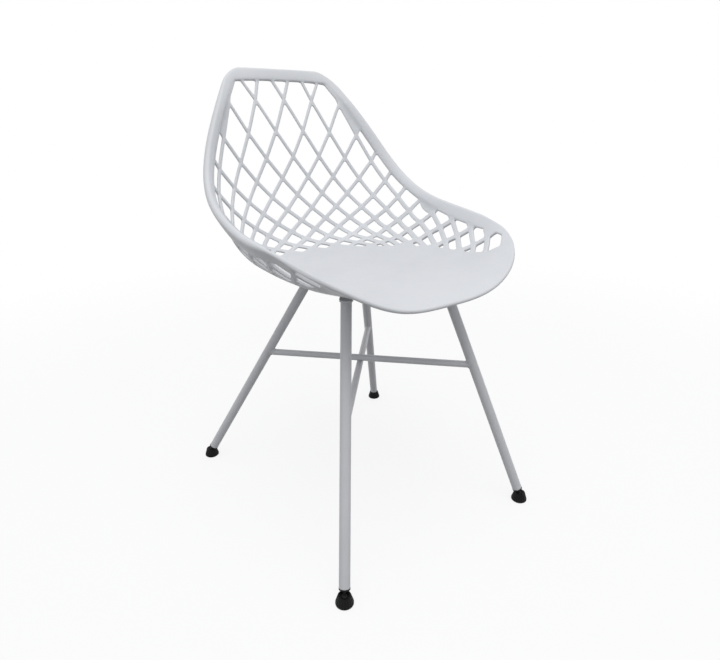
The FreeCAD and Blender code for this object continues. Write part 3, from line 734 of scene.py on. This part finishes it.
def fill_faces(skin, loops, rings, extra):
    """Triangles between the rim band and the openings, on the front and the back."""
    front, back, flat, edges, owner = [], [], [], [], []
    for number, (loop, (ring_f, ring_b)) in enumerate(zip(loops, rings)):
        first = len(flat)
        flat += [Vector(p) for p in loop]
        edges += [(first + i, first + (i + 1) % len(loop)) for i in range(len(loop))]
        front += list(ring_f)
        back += list(ring_b)
        owner += [number] * len(loop)
    th, k = to_angle(extra[:, 0]), to_share(extra[:, 0], extra[:, 1])
    added = ring_rows(skin, th, k, 1.0)
    flat += [Vector(p) for p in extra]
    front += list(added[0])
    back += list(added[1])
    owner += [-1 - i for i in range(len(extra))]
    result = delaunay_2d_cdt(flat, edges, [], 0, 1e-6)
    origin = [ids[0] for ids in result[3]]
    for tri in result[2]:
        a, b, c = (origin[v] for v in tri)
        if owner[a] == owner[b] == owner[c]:
            continue
        skin.faces.append((front[a], front[b], front[c]))
        skin.faces.append((back[c], back[b], back[a]))


def mesh_object(name, skin):
    """A smooth object from a skin in mm."""
    mesh = bpy.data.meshes.new(name)
    verts = (np.vstack(skin.verts) * MM).tolist()
    mesh.from_pydata(verts, [], [tuple(int(i) for i in f) for f in skin.faces])
    bm = bmesh.new()
    bm.from_mesh(mesh)
    bmesh.ops.recalc_face_normals(bm, faces=bm.faces)
    bm.to_mesh(mesh)
    bm.free()
    mesh.shade_smooth()
    obj = bpy.data.objects.new(name, mesh)
    bpy.context.scene.collection.objects.link(obj)
    return obj


def make_shell():
    """The whole shell: rim, openings and the closed surface between them."""
    skin = Skin()
    made = [rim_rings(skin)] + [hole_rings(skin, rounded(poly)) for poly in openings()]
    rings, loops = zip(*made)
    fill_faces(skin, loops, rings, filling_points(loops[1:]))
    return mesh_object("shell_skin", skin)


# Bosses and welds


def leg_ends(side):
    """Ball centre and top end of one leg's axis."""
    sx, sy = SIDES[side]
    foot, top = (FOOT_FRONT, TOP_FRONT) if sy < 0 else (FOOT_REAR, TOP_REAR)
    mirror = np.array([sx, 1, 1])
    return np.array(foot) * mirror, np.array(top) * mirror


def leg_at(side, z):
    """Point of a leg's axis at a height."""
    foot, top = leg_ends(side)
    return foot + (top - foot) * ((z - foot[2]) / (top[2] - foot[2]))


def unit(v):
    """The vector at length 1."""
    return v / np.linalg.norm(v)


def under_seat(x, y):
    """Height of the shell's lower face over the point (x, y) of the flat of the seat."""
    th = np.linspace(FLAT_FROM, FLAT_TO, FLAT_STEPS)
    pts = point(th, x / look(RIM_TH, RIM_X, th))
    return np.interp(y, pts[:, 1], pts[:, 2]) - SHEET_T


def lathe(skin, rows, centre):
    """A closed turned form from (radius, height) rows whose first and last lie on the axis."""
    rings = []
    a = 2 * math.pi * np.arange(ROUND_POINTS) / ROUND_POINTS
    for r, z in rows:
        if r == 0:
            rings.append(skin.add(np.array([[centre[0], centre[1], z]])))
        else:
            rings.append(skin.add(np.stack([centre[0] + r * np.cos(a), centre[1] + r * np.sin(a),
                                            np.full_like(a, z)], axis=1)))
    for a, b in zip(rings, rings[1:]):
        if len(a) == 1 or len(b) == 1:
            tip, ring = (a[0], b) if len(a) == 1 else (b[0], a)
            skin.faces += [(tip, ring[i], ring[(i + 1) % ROUND_POINTS]) for i in range(ROUND_POINTS)]
        else:
            skin.bridge(a, b)


def make_bosses():
    """Screw bosses under the pan, with a fillet where they leave the sheet."""
    skin = Skin()
    for side in SIDES:
        foot, top = leg_ends(side)
        way = unit((top - foot) * np.array([1, 1, 0]))
        for i in range(2):
            x, y, _ = top + way * (SCREW_IN + i * SCREW_PITCH)
            z = under_seat(x, y)
            r = BOSS_D / 2
            wide, bore, z_fillet = r + BOSS_FILLET, BORE_D / 2, z + BOSS_RAISE
            rows = [(0, z + BOSS_SINK), (wide, z + BOSS_SINK), (wide, z_fillet)]
            rows += [(wide - BOSS_FILLET * math.sin(a), z_fillet - BOSS_FILLET * (1 - math.cos(a)))
                     for a in np.radians(FILLET_ANGLES)]
            rows += [(r, BOSS_Z + BOSS_EDGE), (r - BOSS_EDGE, BOSS_Z), (bore + BORE_EDGE, BOSS_Z),
                     (bore, BOSS_Z + BORE_EDGE), (bore, BOSS_Z + BORE_DEPTH), (0, BOSS_Z + BORE_DEPTH)]
            lathe(skin, rows, (x, y))
    return mesh_object("shell_bosses", skin)


def weld_ring(skin, at, way, radius, width, meets):
    """A filleted bead round a bar of a given radius, where it meets another surface."""
    e1 = unit(np.cross(way, (0.0, 0.0, 1.0) if abs(way[2]) < 0.7 else (1.0, 0.0, 0.0)))
    e2 = np.cross(way, e1)
    a = 2 * math.pi * np.arange(WELD_POINTS) / WELD_POINTS
    out = np.cos(a)[:, None] * e1 + np.sin(a)[:, None] * e2
    size = width * (1 + WELD_RIPPLE * np.abs(np.sin(WELD_RIPPLES * a)) - WELD_RIPPLE / 2)
    rings = []
    for far, up in WELD_SECTION:
        r = radius + far * size
        base = at + out * r[:, None]
        rings.append(skin.add(base + way * (meets(base, way) + up * size)[:, None]))
    for p, q in zip(rings, rings[1:] + rings[:1]):
        skin.bridge(p, q)


def tube_surface(side):
    """Distance along a direction from points to the outside of a leg."""
    foot, top = leg_ends(side)
    axis = unit(top - foot)

    def meets(base, way):
        flat = way - (way @ axis) * axis
        rel = base - foot
        rel = rel - (rel @ axis)[:, None] * axis
        a, b, c = flat @ flat, rel @ flat, (rel * rel).sum(1) - (TUBE_D / 2) ** 2
        return (-b + np.sqrt(np.maximum(b * b - a * c, 0))) / a
    return meets


def plate_face(base, way):
    """Distance along a direction from points to the underside of the plates."""
    return (TOP_FRONT[2] - base[:, 2]) / way[2]


def make_welds():
    """Beads where the rods meet the legs and where the legs meet their plates."""
    skin = Skin()
    for side_a, z_a, side_b, z_b in RODS:
        a, b = leg_at(side_a, z_a), leg_at(side_b, z_b)
        weld_ring(skin, a, unit(b - a), ROD_D / 2, ROD_WELD, tube_surface(side_a))
        weld_ring(skin, b, unit(a - b), ROD_D / 2, ROD_WELD, tube_surface(side_b))
    for side in SIDES:
        foot, top = leg_ends(side)
        weld_ring(skin, top, unit(foot - top), TUBE_D / 2, PLATE_WELD, plate_face)
    return mesh_object("weld_beads", skin)


# Materials. Each slot has: name, dark and light tone, roughness from and to, scale, depth and strength of the
# grain, scale of the tone, and one more setting of the shader.
MATERIALS = {
    "shell": ("white_polypropylene", (0.69, 0.70, 0.72), (0.725, 0.735, 0.755), (0.40, 0.52),
              2600.0, 0.00008, 0.35, 9.0, ("IOR", 1.49)),
    "frame": ("white_powder_coat", (0.63, 0.63, 0.645), (0.685, 0.685, 0.70), (0.32, 0.44),
              1500.0, 0.00012, 0.45, 9.0, ("Metallic", 0.0)),
    "foot": ("black_nylon", (0.006, 0.006, 0.0065), (0.011, 0.011, 0.0115), (0.4, 0.55),
             3000.0, 0.00008, 0.4, 60.0, ("Specular IOR Level", 0.16)),
    "screw": ("zinc_steel", (0.5, 0.5, 0.51), (0.62, 0.62, 0.63), (0.25, 0.4),
              4000.0, 0.00004, 0.3, 90.0, ("Metallic", 1.0)),
    "insert": ("brass", (0.62, 0.45, 0.19), (0.74, 0.55, 0.26), (0.25, 0.4),
               4000.0, 0.00004, 0.3, 90.0, ("Metallic", 1.0)),
}

# Part of a noise that is spread, its details, and how much finer the shine changes than the tone
NOISE_LOW, NOISE_HIGH = 0.3, 0.7
TONE_DETAIL, SHINE_DETAIL, GRAIN_DETAIL = 3.0, 4.0, 3.0
SHINE_FINER = 7


def new_material(name):
    """A material with its nodes and links."""
    mat = bpy.data.materials.new(name)
    mat.use_nodes = True
    return mat, mat.node_tree.nodes, mat.node_tree.links


def noise(nodes, links, scale, detail):
    """A noise texture on the object's own coordinates."""
    coords = nodes.new("ShaderNodeTexCoord")
    tex = nodes.new("ShaderNodeTexNoise")
    tex.inputs["Scale"].default_value = scale
    tex.inputs["Detail"].default_value = detail
    links.new(coords.outputs["Object"], tex.inputs["Vector"])
    return tex


def ramp(nodes, links, source, low, high):
    """A noise's middle part spread from low to high."""
    span = nodes.new("ShaderNodeMapRange")
    span.inputs["From Min"].default_value = NOISE_LOW
    span.inputs["From Max"].default_value = NOISE_HIGH
    span.inputs["To Min"].default_value = low
    span.inputs["To Max"].default_value = high
    links.new(source, span.inputs["Value"])
    return span.outputs["Result"]


def tinted(nodes, links, source, dark, light):
    """A colour between dark and light."""
    mix = nodes.new("ShaderNodeMix")
    mix.data_type = "RGBA"
    mix.inputs["A"].default_value = dark + (1.0,)
    mix.inputs["B"].default_value = light + (1.0,)
    links.new(source, mix.inputs["Factor"])
    return mix.outputs["Result"]


def grained(name, dark, light, rough, grain, depth, strength, tone_scale, setting):
    """A surface with slow changes of tone and shine and a fine grain."""
    mat, nodes, links = new_material(name)
    shader = nodes["Principled BSDF"]
    tone = noise(nodes, links, tone_scale, TONE_DETAIL)
    links.new(tinted(nodes, links, ramp(nodes, links, tone.outputs["Fac"], 0.0, 1.0), dark, light),
              shader.inputs["Base Color"])
    shine = noise(nodes, links, tone_scale * SHINE_FINER, SHINE_DETAIL)
    links.new(ramp(nodes, links, shine.outputs["Fac"], *rough), shader.inputs["Roughness"])
    fine = noise(nodes, links, grain, GRAIN_DETAIL)
    bump = nodes.new("ShaderNodeBump")
    bump.inputs["Strength"].default_value = strength
    bump.inputs["Distance"].default_value = depth
    links.new(fine.outputs["Fac"], bump.inputs["Height"])
    links.new(bump.outputs["Normal"], shader.inputs["Normal"])
    shader.inputs[setting[0]].default_value = setting[1]
    return mat


# Studio, in metres: the floor's tone as it is seen and as it throws light back, its share of plain white near
# the chair, and the distances between which that share becomes 1
FLOOR_SIZE = 40.0
FLOOR_ROUGH = 0.9
FLOOR_TONE = 0.93
FLOOR_BOUNCE = 0.25
FLOOR_WHITE = 0.84
FADE_FROM, FADE_TO = 0.7, 2.2
WORLD_COLOUR = (0.95, 0.97, 1.0, 1)
WORLD_LIGHT = 0.64
KEY_AT, KEY_AIM = (-0.36, -0.78, 2.85), (0.0, 0.0, 0.5)
KEY_SIZE = 2.4
KEY_POWER = 29.0


def math_node(nodes, links, operation, a, b):
    """Two values joined by an operation."""
    node = nodes.new("ShaderNodeMath")
    node.operation = operation
    links.new(a, node.inputs[0])
    links.new(b, node.inputs[1])
    return node.outputs[0]


def seen_rays(nodes, links):
    """1 for what the camera and mirror-like or clear surfaces show, 0 for light that falls on the chair."""
    rays = nodes.new("ShaderNodeLightPath")
    seen = math_node(nodes, links, "MAXIMUM", rays.outputs["Is Camera Ray"], rays.outputs["Is Glossy Ray"])
    return math_node(nodes, links, "MAXIMUM", seen, rays.outputs["Is Transmission Ray"])


def mixed_white(nodes, links, lit, output, share):
    """Plain white in place of the lit surface, by a share."""
    white = nodes.new("ShaderNodeEmission")
    white.inputs["Color"].default_value = (1, 1, 1, 1)
    mix = nodes.new("ShaderNodeMixShader")
    links.new(share, mix.inputs["Fac"])
    links.new(lit, mix.inputs[1])
    links.new(white.outputs[0], mix.inputs[2])
    links.new(mix.outputs[0], output)


def make_floor():
    """Plain pale floor that runs to white away from the chair."""
    mesh = bpy.data.meshes.new("floor")
    corners = [(FLOOR_SIZE * x, FLOOR_SIZE * y, 0) for x, y in ((-1, -1), (1, -1), (1, 1), (-1, 1))]
    mesh.from_pydata(corners, [], [(0, 1, 2, 3)])
    obj = bpy.data.objects.new("floor", mesh)
    bpy.context.scene.collection.objects.link(obj)
    mat, nodes, links = new_material("white_floor")
    shader = nodes["Principled BSDF"]
    shader.inputs["Roughness"].default_value = FLOOR_ROUGH
    shader.inputs["Specular IOR Level"].default_value = 0.0
    seen = seen_rays(nodes, links)
    links.new(tinted(nodes, links, seen, (FLOOR_BOUNCE,) * 3, (FLOOR_TONE,) * 3), shader.inputs["Base Color"])
    here = nodes.new("ShaderNodeNewGeometry")
    far = nodes.new("ShaderNodeVectorMath")
    far.operation = "LENGTH"
    links.new(here.outputs["Position"], far.inputs[0])
    span = nodes.new("ShaderNodeMapRange")
    span.interpolation_type = "SMOOTHSTEP"
    span.inputs["From Min"].default_value = FADE_FROM
    span.inputs["From Max"].default_value = FADE_TO
    span.inputs["To Min"].default_value = FLOOR_WHITE
    span.inputs["To Max"].default_value = 1.0
    links.new(far.outputs["Value"], span.inputs["Value"])
    share = math_node(nodes, links, "MULTIPLY", seen, span.outputs["Result"])
    mixed_white(nodes, links, shader.outputs[0], nodes["Material Output"].inputs["Surface"], share)
    mesh.materials.append(mat)


def make_world():
    """Even light from all round, seen as white."""
    world = bpy.data.worlds.new("studio")
    bpy.context.scene.world = world
    world.use_nodes = True
    nodes, links = world.node_tree.nodes, world.node_tree.links
    light = nodes["Background"]
    light.inputs["Color"].default_value = WORLD_COLOUR
    light.inputs["Strength"].default_value = WORLD_LIGHT
    seen = seen_rays(nodes, links)
    mixed_white(nodes, links, light.outputs[0], nodes["World Output"].inputs["Surface"], seen)


def make_light():
    """One large soft lamp over the front of the chair."""
    data = bpy.data.lights.new("key", "AREA")
    data.shape = "DISK"
    data.size = KEY_SIZE
    data.energy = KEY_POWER
    obj = bpy.data.objects.new("key", data)
    obj.location = KEY_AT
    obj.rotation_euler = (Vector(KEY_AIM) - Vector(KEY_AT)).to_track_quat("-Z", "Y").to_euler()
    bpy.context.scene.collection.objects.link(obj)


# Camera, from the photograph's perspective: place and near end of the view in metres, angles in degrees,
# sensor in mm, the rest in pixels
CAMERA_AT = Vector((-0.5369, -0.7672, 0.6955))
CAMERA_AZ, CAMERA_EL, CAMERA_ROLL = -35.016, 21.254, -0.601
SENSOR_W = 36.0
NEAR_CLIP = 0.05
FOCAL_PX = 521.92
CENTRE_PX = (357.34, 329.39)
IMAGE_PX = (720, 660)


def make_camera():
    """The camera at its fitted place, with the fitted focal length and centre."""
    az, el, roll = (math.radians(a) for a in (CAMERA_AZ, CAMERA_EL, CAMERA_ROLL))
    back = Vector((math.sin(az) * math.cos(el), -math.cos(az) * math.cos(el), math.sin(el)))
    right = (-back).cross(Vector((0, 0, 1))).normalized()
    up = right.cross(-back)
    cos, sin = math.cos(roll), math.sin(roll)
    right, up = right * cos + up * sin, up * cos - right * sin
    data = bpy.data.cameras.new("camera")
    data.sensor_width = SENSOR_W
    data.sensor_fit = "HORIZONTAL"
    data.lens = FOCAL_PX * SENSOR_W / IMAGE_PX[0]
    data.shift_x = (IMAGE_PX[0] / 2 - CENTRE_PX[0]) / IMAGE_PX[0]
    data.shift_y = (CENTRE_PX[1] - IMAGE_PX[1] / 2) / IMAGE_PX[0]
    data.clip_start = NEAR_CLIP
    obj = bpy.data.objects.new("camera", data)
    obj.matrix_world = Matrix.Translation(CAMERA_AT) @ Matrix((right, up, back)).transposed().to_4x4()
    bpy.context.scene.collection.objects.link(obj)
    bpy.context.scene.camera = obj


def dress(materials):
    """Each kept node takes the material of its slot."""
    slots = {p["node"]: p["material_slot"] for p in frame["record"]["subparts"]}
    for name, obj in frame["nodes"].items():
        obj.data.materials.clear()
        obj.data.materials.append(materials[slots[name]])


materials = {slot: grained(*values) for slot, values in MATERIALS.items()}
dress(materials)
shell = make_shell()
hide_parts("seat_shell")
for piece, slot in ((shell, "shell"), (make_bosses(), "shell"), (make_welds(), "frame")):
    piece.data.materials.append(materials[slot])
    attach(piece, "chair")
make_floor()
make_world()
make_light()
make_camera()
bpy.context.scene.view_settings.view_transform = "Standard"
